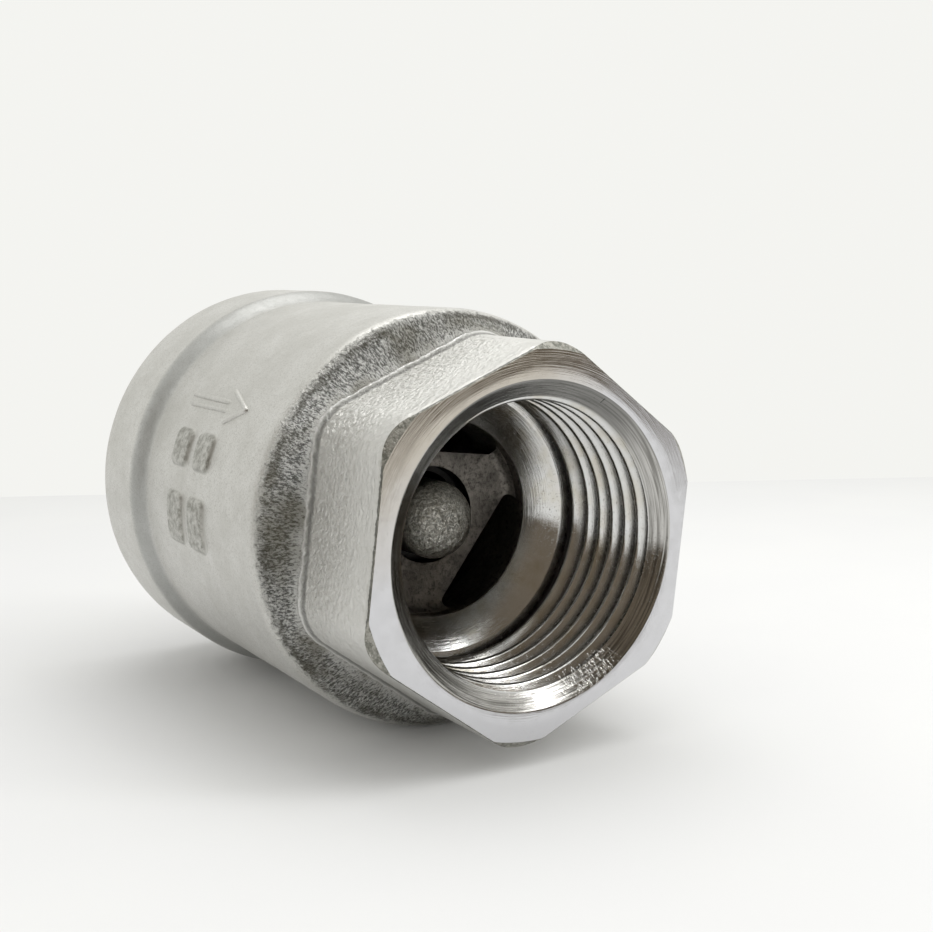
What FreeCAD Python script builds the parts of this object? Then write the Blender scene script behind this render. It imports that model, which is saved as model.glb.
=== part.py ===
import FreeCAD, Part
import math
import os
import re
import Sketcher

# In-line spring check valve, G1 female threads at both ends, millimetres.
# The axis of flow is +X: the inlet face is at X = 0 and the outlet face at X = total_length.
# +Z is up. A radius is a distance from the axis of flow.

doc = FreeCAD.newDocument("check_valve")

DIMENSIONS = {
    # whole valve
    "total_length": 75.0,
    "hex_flats": 39.0,
    "hex_clock": 6.8,
    "hex_corner": 5.5,
    "hex_face_radius": 20.5,
    "hex_bevel": 1.1,
    # G1 female thread and the passage behind it; the inlet's is shorter
    "mouth_radius": 17.3,
    "mouth_depth": 1.5,
    "mouth_foot_radius": 15.6,
    "thread_radius": 15.146,
    "thread_end": 17.3,
    "throat_start": 19.8,
    "throat_radius": 11.5,
    "inlet_thread_end": 14.8,
    "inlet_throat_start": 17.3,
    # inlet cap
    "cap_hex_length": 6.0,
    "cap_face_radius": 19.6,
    "cap_bevel_rise": 1.95,
    "cap_bevel_length": 3.0,
    "collar_length": 1.5,
    "collar_radius": 23.4,
    "collar_edge": 0.6,
    "gasket_thickness": 1.0,
    "gasket_inner": 21.3,
    "gasket_outer": 23.2,
    "cap_thread_radius": 20.15,
    "cap_relief_radius": 19.4,
    "cap_relief_length": 2.0,
    "cap_end": 23.5,
    "cap_end_bevel": 1.0,
    "seat_face": 24.5,
    "seat_outer": 13.5,
    "seat_foot": 14.2,
    # body
    "body_thread_radius": 20.2,
    "body_mouth_radius": 21.2,
    "body_mouth_depth": 1.0,
    "ring_radius": 25.7,
    "ring_end": 22.2,
    "ring_edge": 1.8,
    "ring_back_edge": 2.1,
    "neck_end": 23.4,
    "neck_sweep": 1.6,
    "barrel_radius": 24.3,
    "shoulder_edge": 57.9,
    "shoulder_round": 3.0,
    "hex_start": 60.3,
    "hex_root_radius": 19.4,
    "hex_inside": 56.0,
    "chamber_radius": 20.0,
    "chamber_start": 25.3,
    "chamber_end": 44.0,
    # spider that guides the stem
    "spider_face": 52.5,
    "spider_back": 48.5,
    "spider_back_radius": 13.0,
    "spider_face_radius": 10.6,
    "spider_corner": 1.1,
    "hub_start": 40.0,
    "hub_radius": 6.3,
    "guide_radius": 5.0,
    "guide_end": 50.2,
    "guide_mouth_radius": 5.65,
    "window_chord": 7.45,
    # raised flow arrow
    "arrow_clock": -58.0,
    "arrow_tail": 29.5,
    "arrow_neck": 43.0,
    "arrow_tip": 47.4,
    "arrow_shaft": 0.9,
    "arrow_barb": 2.1,
    "arrow_base": 23.5,
    "arrow_top": 24.65,
    # disc with its stem, closed on the seat
    "seat_gap": 0.03,
    "stem_sag": 0.4,
    "stud_start": 15.1,
    "stud_radius": 3.0,
    "stud_bevel": 0.6,
    "disc_radius": 15.8,
    "disc_rim_face": 25.8,
    "disc_recess": 26.5,
    "disc_back": 30.0,
    "disc_edge": 0.8,
    "stop_radius": 5.9,
    "stop_face": 33.0,
    "stem_radius": 4.55,
    "stem_end": 56.8,
    "stem_round": 3.3,
    # clamped seal
    "seal_inner": 3.3,
    "seal_outer": 14.2,
    "washer_radius": 10.0,
    "washer_hole": 3.2,
    "washer_face": 23.03,
    "lock_radius": 5.1,
    "lock_face": 21.73,
    "lock_turn": 350.0,
    "nut_face": 16.73,
    "nut_flats": 10.0,
    "nut_hole": 3.05,
    "nut_bevel": 0.6,
    # spring
    "wire_radius": 0.4,
    "coil_radius": 7.0,
    "coil_turns": 6.5,
    "spring_clearance": 0.05,
}

sheet = doc.addObject("Spreadsheet::Sheet", "Dimensions")
for row, (alias, value) in enumerate(DIMENSIONS.items(), start=1):
    sheet.set(f"A{row}", alias)
    sheet.set(f"B{row}", str(value))
    sheet.setAlias(f"B{row}", alias)
doc.recompute()


def bound(text):
    """The expression text with each name pointed at its cell of the sheet."""
    return re.sub(r"[a-z][a-z_]+", lambda name: "Dimensions." + name.group(0), text)


def value_of(text):
    """What an expression over the sheet's names comes to, in millimetres or degrees."""
    return float(sheet.evalExpression(bound(text)))


def new_body(label):
    body = doc.addObject("PartDesign::Body", label)
    body.Label = label
    return body


def origin_item(body, role):
    """One of a body's own origin planes or axes, such as XZ_Plane or X_Axis."""
    return next(item for item in body.Origin.OriginFeatures if item.Role == role)


def new_sketch(body, name, role):
    sketch = body.newObject("Sketcher::SketchObject", name)
    sketch.AttachmentSupport = [(origin_item(body, role), "")]
    sketch.MapMode = "FlatFace"
    return sketch


def pin_point(sketch, edge, end, across, up):
    """Hold one end of a sketch edge at the expressions across and up."""
    for kind, axis, text in (("DistanceX", -2, across), ("DistanceY", -1, up)):
        if text == "0":
            sketch.addConstraint(Sketcher.Constraint("PointOnObject", edge, end, axis))
            continue
        held = Sketcher.Constraint(kind, -1, 1, edge, end, value_of(text))
        index = sketch.addConstraint(held)
        sketch.setExpression(f"Constraints[{index}]", bound(text))


def half_section(body, name, corners):
    """A closed sketch in the XZ plane through corners, each an (X, radius) pair of expressions."""
    sketch = new_sketch(body, name, "XZ_Plane")
    points = [FreeCAD.Vector(value_of(across), value_of(up), 0) for across, up in corners]
    count = len(points)
    for index in range(count):
        sketch.addGeometry(Part.LineSegment(points[index], points[(index + 1) % count]))
    for index in range(count):
        following = (index + 1) % count
        sketch.addConstraint(Sketcher.Constraint("Coincident", index, 2, following, 1))
    for index, (across, up) in enumerate(corners):
        pin_point(sketch, index, 1, across, up)
    doc.recompute()
    return sketch


def turn(body, name, kind, corners, angle="360"):
    """A Revolution or Groove of a half section about the axis of flow."""
    sketch = half_section(body, name + "_section", corners)
    feature = body.newObject("PartDesign::" + kind, name)
    feature.Profile = sketch
    feature.ReferenceAxis = (sketch, ["H_Axis"])
    feature.setExpression("Angle", bound(angle))
    body.Tip = feature
    doc.recompute()
    return feature


def rectangle(start, end, inner, outer):
    return [(start, inner), (start, outer), (end, outer), (end, inner)]


def hexagon(body, name, flats, start, end, clock):
    """A hexagonal prism along the axis of flow, one corner clock degrees from +Z towards +Y."""
    prism = body.newObject("PartDesign::AdditivePrism", name)
    prism.Polygon = 6
    prism.setExpression("Circumradius", f"{bound(flats)} / 2 / cos(30)")
    prism.setExpression("Height", bound(f"({end}) - ({start})"))
    prism.setExpression("Placement.Base.x", bound(start))
    along = FreeCAD.Rotation(FreeCAD.Vector(0, 1, 0), 90)
    clocked = FreeCAD.Rotation(FreeCAD.Vector(1, 0, 0), -value_of(clock))
    prism.Placement = FreeCAD.Placement(FreeCAD.Vector(value_of(start), 0, 0), clocked * along)
    body.Tip = prism
    doc.recompute()
    return prism


def round_corners(body, name, flats, radius):
    """A fillet on the six long edges of a hexagon along the axis of flow."""
    base = body.Tip
    corner = value_of(flats) / 2 / math.cos(math.radians(30))
    names = []
    for index, edge in enumerate(base.Shape.Edges, start=1):
        ends = [vertex.Point for vertex in edge.Vertexes]
        if isinstance(edge.Curve, Part.Line) and all(
            abs(math.hypot(end.y, end.z) - corner) < 1e-4 for end in ends
        ) and abs(ends[0].y - ends[1].y) < 1e-4:
            names.append(f"Edge{index}")
    if len(names) != 6:
        raise RuntimeError(f"{name}: found {len(names)} of 6 corners")
    fillet = body.newObject("PartDesign::Fillet", name)
    fillet.Base = (base, names)
    fillet.setExpression("Radius", bound(radius))
    body.Tip = fillet
    doc.recompute()
    return fillet


def round_edges(body, name, rims, radius):
    """A fillet on the circular edges that lie at the (X, radius) pairs in rims."""
    base = body.Tip
    shape = base.Shape
    wanted = [(value_of(across), value_of(up)) for across, up in rims]
    names = []
    for index, edge in enumerate(shape.Edges, start=1):
        if not isinstance(edge.Curve, Part.Circle):
            continue
        for across, up in wanted:
            on_axis = math.hypot(edge.Curve.Center.y, edge.Curve.Center.z) < 1e-4
            near = abs(edge.Curve.Center.x - across) < 1e-4 and abs(edge.Curve.Radius - up) < 1e-4
            if on_axis and near:
                names.append(f"Edge{index}")
    if len(names) < len(rims):
        raise RuntimeError(f"{name}: found {len(names)} of {len(rims)} edges")
    fillet = body.newObject("PartDesign::Fillet", name)
    fillet.Base = (base, names)
    fillet.setExpression("Radius", bound(radius))
    body.Tip = fillet
    doc.recompute()
    return fillet


def require_change(before, after, what, grows):
    """Stop if a feature left the solid as it was or changed it the wrong way."""
    change = after.Volume - before.Volume
    if (change > 1.0) != grows or abs(change) < 1.0:
        raise RuntimeError(f"{what} changed the volume by {change:.2f}")


# ---------------------------------------------------------------- shared outlines

def passage(face, inward, thread_end, throat_start):
    """Corners of the threaded mouth, its run-out cone and the throat, from an end face inwards.

    face is the X of the end face and inward is "+" or "-", the way into the valve.
    """
    return [
        (face, "mouth_radius"),
        (f"{face} {inward} mouth_depth", "mouth_foot_radius"),
        (f"{face} {inward} mouth_depth", "thread_radius"),
        (f"{face} {inward} {thread_end}", "thread_radius"),
        (f"{face} {inward} {throat_start}", "throat_radius"),
    ]


def hex_corner_bevel(body, name, face, far, face_radius, rise):
    """Turn the corners of a hexagon to a cone that opens from face_radius at face by rise at far."""
    outside = "hex_flats * 0.7"
    turn(body, name, "Groove", [
        (face, face_radius),
        (face, outside),
        (far, outside),
        (far, f"{face_radius} + {rise}"),
    ])


# ---------------------------------------------------------------- body

ring_face = "cap_hex_length + collar_length + gasket_thickness"

valve_body = new_body("body")
hexagon(valve_body, "outlet_hex", "hex_flats", "hex_inside", "total_length", "hex_clock")
round_corners(valve_body, "outlet_hex_corners", "hex_flats", "hex_corner")
outlet_bevel_end = "total_length - hex_bevel"
hex_corner_bevel(
    valve_body, "outlet_hex_bevel", "total_length", outlet_bevel_end, "hex_face_radius", "hex_bevel"
)
turn(valve_body, "barrel", "Revolution", [
    (ring_face, "0"),
    (ring_face, "ring_radius"),
    ("ring_end", "ring_radius"),
    ("neck_end", "barrel_radius"),
    ("shoulder_edge", "barrel_radius"),
    ("hex_start", "hex_root_radius"),
    ("hex_start", "0"),
])
round_edges(valve_body, "ring_round", [("ring_end", "ring_radius")], "ring_edge")
round_edges(valve_body, "ring_back_round", [(ring_face, "ring_radius")], "ring_back_edge")
round_edges(valve_body, "neck_round", [("neck_end", "barrel_radius")], "neck_sweep")
round_edges(valve_body, "shoulder_rounds", [("shoulder_edge", "barrel_radius")], "shoulder_round")

solid_body = valve_body.Tip.Shape.copy()
turn(valve_body, "flow_path", "Groove", [
    (ring_face, "0"),
    (ring_face, "body_mouth_radius"),
    (f"{ring_face} + body_mouth_depth", "body_thread_radius"),
    ("chamber_start", "body_thread_radius"),
    ("chamber_start", "chamber_radius"),
    ("chamber_end", "chamber_radius"),
    ("spider_back", "spider_back_radius"),
    ("spider_back", "hub_radius"),
    ("hub_start", "hub_radius"),
    ("hub_start", "guide_radius"),
    ("guide_end", "guide_radius"),
    ("guide_end", "guide_mouth_radius"),
    ("spider_face", "guide_mouth_radius"),
    ("spider_face", "spider_face_radius"),
    ("spider_face + spider_corner", "throat_radius"),
] + passage("total_length", "-", "thread_end", "throat_start")[::-1] + [
    ("total_length", "0"),
])
require_change(solid_body, valve_body.Tip.Shape, "flow_path", grows=False)

# one window beside the hub: a chord of the throat, cut through the spider and repeated three times
window_sketch = new_sketch(valve_body, "window_outline", "YZ_Plane")
window_sketch.setExpression("AttachmentOffset.Base.z", bound("spider_face + spider_corner"))
half_angle = math.acos(value_of("window_chord") / value_of("throat_radius"))
centre_angle = math.radians(90 - value_of("hex_clock"))
throat = value_of("throat_radius")
rim = Part.Circle(FreeCAD.Vector(0, 0, 0), FreeCAD.Vector(0, 0, 1), throat)
window_sketch.addGeometry(Part.ArcOfCircle(rim, centre_angle - half_angle, centre_angle + half_angle))
ends = [
    FreeCAD.Vector(throat * math.cos(centre_angle + side), throat * math.sin(centre_angle + side), 0)
    for side in (half_angle, -half_angle)
]
window_sketch.addGeometry(Part.LineSegment(ends[0], ends[1]))
window_sketch.addConstraint(Sketcher.Constraint("Coincident", 0, 3, -1, 1))
window_sketch.addConstraint(Sketcher.Constraint("Coincident", 0, 2, 1, 1))
window_sketch.addConstraint(Sketcher.Constraint("Coincident", 0, 1, 1, 2))
radius_index = window_sketch.addConstraint(Sketcher.Constraint("Radius", 0, throat))
window_sketch.setExpression(f"Constraints[{radius_index}]", bound("throat_radius"))
chord_held = Sketcher.Constraint("Distance", -1, 1, 1, value_of("window_chord"))
chord_index = window_sketch.addConstraint(chord_held)
window_sketch.setExpression(f"Constraints[{chord_index}]", bound("window_chord"))
slope = math.atan2(ends[1].y - ends[0].y, ends[1].x - ends[0].x)
slope_index = window_sketch.addConstraint(Sketcher.Constraint("Angle", 1, slope))
window_sketch.setExpression(f"Constraints[{slope_index}]", "-1 * Dimensions.hex_clock * 1 deg")
doc.recompute()
before_windows = valve_body.Tip.Shape.copy()
window = valve_body.newObject("PartDesign::Pocket", "window")
window.Profile = window_sketch
window.setExpression("Length", bound("spider_face + spider_corner - spider_back + spider_corner"))
valve_body.Tip = window
doc.recompute()
require_change(before_windows, valve_body.Tip.Shape, "window", grows=False)
windows = valve_body.newObject("PartDesign::PolarPattern", "windows")
windows.Originals = [window]
windows.Axis = (origin_item(valve_body, "X_Axis"), [""])
windows.Angle = 360
windows.Occurrences = 3
valve_body.Tip = windows
doc.recompute()

# raised arrow on the side of the barrel, pointing the way of flow
arrow_sketch = new_sketch(valve_body, "arrow_outline", "XY_Plane")
tilt = FreeCAD.Rotation(FreeCAD.Vector(1, 0, 0), -value_of("arrow_clock"))
arrow_foot = tilt.multVec(FreeCAD.Vector(0, 0, value_of("arrow_base")))
arrow_sketch.AttachmentOffset = FreeCAD.Placement(arrow_foot, tilt)
upper = [("arrow_tail", "arrow_shaft"), ("arrow_neck", "arrow_shaft"), ("arrow_neck", "arrow_barb")]
tip = ("arrow_tip", "0")
points = [FreeCAD.Vector(value_of(across), value_of(up), 0) for across, up in upper + [tip]]
points += [FreeCAD.Vector(point.x, -point.y, 0) for point in points[2::-1]]
for index, point in enumerate(points):
    arrow_sketch.addGeometry(Part.LineSegment(point, points[(index + 1) % len(points)]))
for index in range(len(points)):
    following = (index + 1) % len(points)
    arrow_sketch.addConstraint(Sketcher.Constraint("Coincident", index, 2, following, 1))
for index, (across, up) in enumerate(upper + [tip]):
    pin_point(arrow_sketch, index, 1, across, up)
for index in range(len(upper)):
    mirrored = len(points) - 1 - index
    arrow_sketch.addConstraint(Sketcher.Constraint("Symmetric", index, 1, mirrored, 1, -1))
doc.recompute()
before_arrow = valve_body.Tip.Shape.copy()
arrow = valve_body.newObject("PartDesign::Pad", "arrow")
arrow.Profile = arrow_sketch
arrow.setExpression("Length", bound("arrow_top - arrow_base"))
valve_body.Tip = arrow
doc.recompute()
require_change(before_arrow, valve_body.Tip.Shape, "arrow", grows=True)

# ---------------------------------------------------------------- inlet cap

cap = new_body("inlet_cap")
collar_face = "cap_hex_length + collar_length"
hexagon(cap, "inlet_hex", "hex_flats", "0", "cap_hex_length + collar_edge", "hex_clock")
round_corners(cap, "inlet_hex_corners", "hex_flats", "hex_corner")
hex_corner_bevel(
    cap, "inlet_hex_bevel", "0", "cap_bevel_length", "cap_face_radius", "cap_bevel_rise"
)
turn(cap, "cap_turning", "Revolution", [
    ("cap_hex_length", "0"),
    ("cap_hex_length", "collar_radius - collar_edge"),
    ("cap_hex_length + collar_edge", "collar_radius"),
    (collar_face, "collar_radius"),
    (collar_face, "cap_relief_radius"),
    (f"{collar_face} + cap_relief_length", "cap_relief_radius"),
    (f"{collar_face} + cap_relief_length", "cap_thread_radius"),
    ("cap_end - cap_end_bevel", "cap_thread_radius"),
    ("cap_end", "cap_thread_radius - cap_end_bevel"),
    ("cap_end", "seat_foot"),
    ("seat_face", "seat_outer"),
    ("seat_face", "0"),
])
solid_cap = cap.Tip.Shape.copy()
inlet_passage = passage("0", "+", "inlet_thread_end", "inlet_throat_start")
turn(cap, "cap_passage", "Groove", [("0", "0")] + inlet_passage + [
    ("seat_face", "throat_radius"),
    ("seat_face", "0"),
])
require_change(solid_cap, cap.Tip.Shape, "cap_passage", grows=False)

gasket = new_body("body_gasket")
gasket_section = rectangle(collar_face, ring_face, "gasket_inner", "gasket_outer")
turn(gasket, "gasket_ring", "Revolution", gasket_section)

# ---------------------------------------------------------------- disc and what it carries

disc = new_body("disc")
turn(disc, "disc_turning", "Revolution", [
    ("stud_start", "0"),
    ("stud_start", "stud_radius - stud_bevel"),
    ("stud_start + stud_bevel", "stud_radius"),
    ("disc_recess", "stud_radius"),
    ("disc_recess", "seal_outer"),
    ("disc_rim_face", "seal_outer"),
    ("disc_rim_face", "disc_radius"),
    ("disc_back", "disc_radius"),
    ("disc_back", "stop_radius"),
    ("stop_face", "stop_radius"),
    ("stop_face", "stem_radius"),
    ("stem_end", "stem_radius"),
    ("stem_end", "0"),
])
round_edges(disc, "stem_dome", [("stem_end", "stem_radius")], "stem_round")
round_edges(disc, "disc_back_round", [("disc_back", "disc_radius")], "disc_edge")

seal_face = "seat_face + seat_gap"
seal = new_body("disc_seal")
seal_section = rectangle(seal_face, "disc_recess", "seal_inner", "seal_outer")
turn(seal, "seal_ring", "Revolution", seal_section)

washer = new_body("seal_washer")
washer_section = rectangle("washer_face", seal_face, "washer_hole", "washer_radius")
turn(washer, "washer_ring", "Revolution", washer_section)

lock = new_body("lock_washer")
lock_section = rectangle("lock_face", "washer_face", "washer_hole", "lock_radius")
turn(lock, "split_ring", "Revolution", lock_section, "lock_turn")

nut = new_body("disc_nut")
hexagon(nut, "nut_hex", "nut_flats", "nut_face", "lock_face", "hex_clock")
solid_nut = nut.Tip.Shape.copy()
turn(nut, "nut_hole", "Groove", [
    ("nut_face", "0"),
    ("nut_face", "nut_hole + nut_bevel"),
    ("nut_face + nut_bevel", "nut_hole"),
    ("lock_face", "nut_hole"),
    ("lock_face", "0"),
])
require_change(solid_nut, nut.Tip.Shape, "nut_hole", grows=False)

# the disc and its pieces lie low in the guide, by most of the guide's clearance
for item in (disc, seal, washer, lock, nut):
    item.setExpression("Placement.Base.z", bound("-1 * stem_sag"))
doc.recompute()

# ---------------------------------------------------------------- spring

spring = new_body("spring")
wire_sketch = new_sketch(spring, "wire_section", "XZ_Plane")
wire_start = "disc_back + wire_radius + spring_clearance"
wire_centre = FreeCAD.Vector(value_of(wire_start), value_of("coil_radius"), 0)
wire_sketch.addGeometry(Part.Circle(wire_centre, FreeCAD.Vector(0, 0, 1), value_of("wire_radius")))
pin_point(wire_sketch, 0, 3, wire_start, "coil_radius")
wire_index = wire_sketch.addConstraint(Sketcher.Constraint("Radius", 0, value_of("wire_radius")))
wire_sketch.setExpression(f"Constraints[{wire_index}]", bound("wire_radius"))
doc.recompute()
coil = spring.newObject("PartDesign::AdditiveHelix", "coil")
coil.Profile = wire_sketch
coil.ReferenceAxis = (wire_sketch, ["H_Axis"])
coil.Mode = "height-turns-angle"
coil_height = "spider_back - disc_back - 2 * wire_radius - 2 * spring_clearance"
coil.setExpression("Height", bound(coil_height))
coil.setExpression("Turns", bound("coil_turns"))
spring.Tip = coil
doc.recompute()
wound_length = 2 * math.pi * value_of("coil_radius") * value_of("coil_turns")
wire_length = math.hypot(wound_length, value_of(coil_height))
wire_volume = math.pi * value_of("wire_radius") ** 2 * wire_length
if abs(spring.Shape.Volume - wire_volume) > 0.02 * wire_volume:
    raise RuntimeError(f"spring volume {spring.Shape.Volume:.1f} is not its wire's {wire_volume:.1f}")

# ---------------------------------------------------------------- check and write

doc.recompute()
for item in doc.Objects:
    if "Invalid" in item.State or "Error" in item.State:
        raise RuntimeError(f"{item.Name} failed: {item.State}")

pieces = [valve_body, cap, gasket, disc, seal, washer, lock, nut, spring]
for piece in pieces:
    shape = piece.Shape
    if shape.isNull() or not shape.isValid() or len(shape.Solids) != 1:
        raise RuntimeError(f"{piece.Label} is not one valid solid")

os.makedirs("parts", exist_ok=True)
for piece in pieces:
    piece.Shape.exportStep(f"parts/{piece.Label}.step")
    box = piece.Shape.BoundBox
    print(f"{piece.Label}: {piece.Shape.Volume:.1f} mm3, X {box.XMin:.2f} to {box.XMax:.2f}")
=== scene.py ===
import math

import bmesh
import bpy
import numpy as np
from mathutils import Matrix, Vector, noise


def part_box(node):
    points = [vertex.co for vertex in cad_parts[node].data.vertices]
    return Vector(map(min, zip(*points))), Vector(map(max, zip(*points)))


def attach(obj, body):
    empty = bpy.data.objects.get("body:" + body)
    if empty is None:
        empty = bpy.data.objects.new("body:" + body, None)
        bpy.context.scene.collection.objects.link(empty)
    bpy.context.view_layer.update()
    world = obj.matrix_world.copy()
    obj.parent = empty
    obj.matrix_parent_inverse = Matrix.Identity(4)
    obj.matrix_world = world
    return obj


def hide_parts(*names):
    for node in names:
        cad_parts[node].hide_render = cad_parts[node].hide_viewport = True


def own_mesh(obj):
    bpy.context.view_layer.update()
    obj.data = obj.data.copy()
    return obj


# In-line spring check valve in the row frame: +X along the flow, +Z up, the axis of flow on X.
# Lengths in this script are millimetres; MM turns them into the metres that Blender works in.
# A clock angle is measured from +Z towards +Y.

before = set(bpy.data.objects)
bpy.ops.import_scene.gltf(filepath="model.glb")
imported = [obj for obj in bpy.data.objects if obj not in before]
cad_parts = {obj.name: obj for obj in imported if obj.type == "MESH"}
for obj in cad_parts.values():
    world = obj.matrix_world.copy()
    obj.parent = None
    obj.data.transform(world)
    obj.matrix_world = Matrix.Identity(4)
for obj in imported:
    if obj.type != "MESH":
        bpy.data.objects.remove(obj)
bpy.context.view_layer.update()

MM = 0.001
SEGMENTS = 480
CLOCK = np.linspace(0, 2 * math.pi, SEGMENTS, endpoint=False)
# edges that turn by more degrees than this are kept sharp
CREASE = 38.0


def span(node, axis):
    """The lowest and highest place of a CAD node along an axis, in millimetres."""
    low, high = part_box(node)
    return low[axis] / MM, high[axis] / MM


RING_FACE, OUTLET_FACE = span("body", 0)
RING_RADIUS = span("body", 2)[1]
INLET_FACE, SEAT_FACE = span("inlet_cap", 0)
STUD_START, STEM_END = span("disc", 0)
STEM_DROP = -sum(span("disc", 2)) / 2
SPRING_START, SPRING_END = span("spring", 0)

# hexagon at each end
HEX_CLOCK = 6.8
HEX_APOTHEM = 19.2
HEX_CORNER = 5.5
HEX_TAPER = 0.012
OUTLET_FACE_RADIUS = 20.5
INLET_FACE_RADIUS = 19.6
INLET_BEVEL_SLOPE = 0.65
EDGE_BREAK = 0.12
OUTLET_HEX_LENGTH = 14.7
INLET_HEX_LENGTH = 6.0
BASE_SWEEP = 1.5
BASE_RISE = 0.4

# outside of the body
BARREL_RADIUS = 24.25
SHOULDER_ROUND = 3.0
SHOULDER_DEPTH = 19.4
NECK_START = 24.1
NECK_END = 20.6
RING_ROUND = 2.1
BODY_MOUTH_RADIUS = 21.2
BODY_THREAD_RADIUS = 20.2
CHAMBER_RADIUS = 20.0
CHAMBER_END = 44.0
CAST_SKIN = 0.035

# G1 thread and the passage behind it
PITCH = 25.4 / 11
CREST_RADIUS = 15.146
ROOT_RADIUS = 16.6
UNDER_THREAD = 17.0
MOUTH_RADIUS = 17.25
MOUTH_DEPTH = 1.5
MOUTH_FOOT_RADIUS = 15.6
LIP = 0.2
THREAD_START = 0.2
THREAD_START_CLOCK = 29.0
OUTLET_THROAT_DEPTH = 19.8
INLET_THROAT_DEPTH = 17.3
CONE_LENGTH = 2.5
RELIEF_LENGTH = 2.2
LAND_LENGTH = 1.7
BEHIND_SURFACE = 0.04
LEAST_DEPTH = 0.15
THROAT_RADIUS = 11.5

# spider
SPIDER_BACK = 48.5
SPIDER_FACE = 52.5
SPIDER_BACK_RADIUS = 13.0
SPIDER_FACE_RADIUS = 10.6
HUB_START = 40.0
HUB_RADIUS = 6.3
GUIDE_RADIUS = 5.0
GUIDE_END = 50.2
GUIDE_MOUTH_RADIUS = 5.65
WINDOW_CHORD = 7.45
WINDOW_ROUND = 0.7


# ---------------------------------------------------------------- shaders

class Shader:
    """A procedural material in millimetres, with one short call for each kind of node."""

    def __init__(self, name):
        self.material = bpy.data.materials.new(name)
        self.material.use_nodes = True
        self.tree = self.material.node_tree
        self.surface = self.tree.nodes["Principled BSDF"]
        coordinates = self.node("ShaderNodeTexCoord")
        scaled = self.node("ShaderNodeVectorMath", operation="SCALE")
        self.feed(scaled.inputs[0], coordinates.outputs["Object"])
        scaled.inputs["Scale"].default_value = 1 / MM
        self.place = scaled.outputs[0]
        apart = self.node("ShaderNodeSeparateXYZ")
        self.feed(apart.inputs[0], self.place)
        self.along, self.across, self.up = apart.outputs
        square = self.math("ADD", self.math("POWER", self.across, 2), self.math("POWER", self.up, 2))
        self.radius = self.math("SQRT", square)
        self.angle = self.math("ARCTAN2", self.across, self.up)

    def node(self, kind, **settings):
        made = self.tree.nodes.new(kind)
        for key, value in settings.items():
            setattr(made, key, value)
        return made

    def feed(self, socket, value):
        if isinstance(value, bpy.types.NodeSocket):
            self.tree.links.new(value, socket)
        else:
            socket.default_value = value

    def math(self, operation, first, second=0.0):
        made = self.node("ShaderNodeMath", operation=operation)
        self.feed(made.inputs[0], first)
        self.feed(made.inputs[1], second)
        return made.outputs[0]

    def vector(self, x, y, z):
        made = self.node("ShaderNodeCombineXYZ")
        for socket, value in zip(made.inputs, (x, y, z)):
            self.feed(socket, value)
        return made.outputs[0]

    def noise(self, scale, detail=3.0, roughness=0.6, place=None, distortion=0.0):
        made = self.node("ShaderNodeTexNoise")
        self.feed(made.inputs["Vector"], place or self.place)
        made.inputs["Scale"].default_value = scale
        made.inputs["Detail"].default_value = detail
        made.inputs["Roughness"].default_value = roughness
        made.inputs["Distortion"].default_value = distortion
        return made.outputs["Fac"]

    def cells(self, scale):
        made = self.node("ShaderNodeTexVoronoi")
        self.feed(made.inputs["Vector"], self.place)
        made.inputs["Scale"].default_value = scale
        return made.outputs["Distance"]

    def ranged(self, value, low, high, new_low=0.0, new_high=1.0):
        made = self.node("ShaderNodeMapRange", interpolation_type="SMOOTHSTEP")
        self.feed(made.inputs[0], value)
        for socket, number in zip(made.inputs[1:5], (low, high, new_low, new_high)):
            socket.default_value = number
        return made.outputs[0]

    def band(self, value, low, high, soft):
        """1 where value lies between low and high, falling to 0 over soft on both sides."""
        rise = self.ranged(value, low - soft, low + soft)
        fall = self.ranged(value, high - soft, high + soft, 1.0, 0.0)
        return self.math("MULTIPLY", rise, fall)

    def mix(self, factor, first, second):
        made = self.node("ShaderNodeMix", data_type="RGBA")
        self.feed(made.inputs["Factor"], factor)
        for socket, colour in ((made.inputs[6], first), (made.inputs[7], second)):
            self.feed(socket, (*colour, 1.0) if isinstance(colour, tuple) else colour)
        return made.outputs[2]

    def blend(self, factor, first, second):
        made = self.node("ShaderNodeMix", data_type="FLOAT")
        self.feed(made.inputs["Factor"], factor)
        self.feed(made.inputs[2], first)
        self.feed(made.inputs[3], second)
        return made.outputs[0]

    def times(self, *factors):
        product = factors[0]
        for factor in factors[1:]:
            product = self.math("MULTIPLY", product, factor)
        return product

    def finish(self, colour, roughness, height, depth, metallic=1.0):
        """Join colour, roughness and a height in millimetres of depth to the surface."""
        self.feed(self.surface.inputs["Base Color"], colour)
        self.feed(self.surface.inputs["Roughness"], roughness)
        self.surface.inputs["Metallic"].default_value = metallic
        bump = self.node("ShaderNodeBump")
        bump.inputs["Distance"].default_value = depth * MM
        self.feed(bump.inputs["Height"], height)
        self.feed(self.surface.inputs["Normal"], bump.outputs[0])
        return self.material


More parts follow.
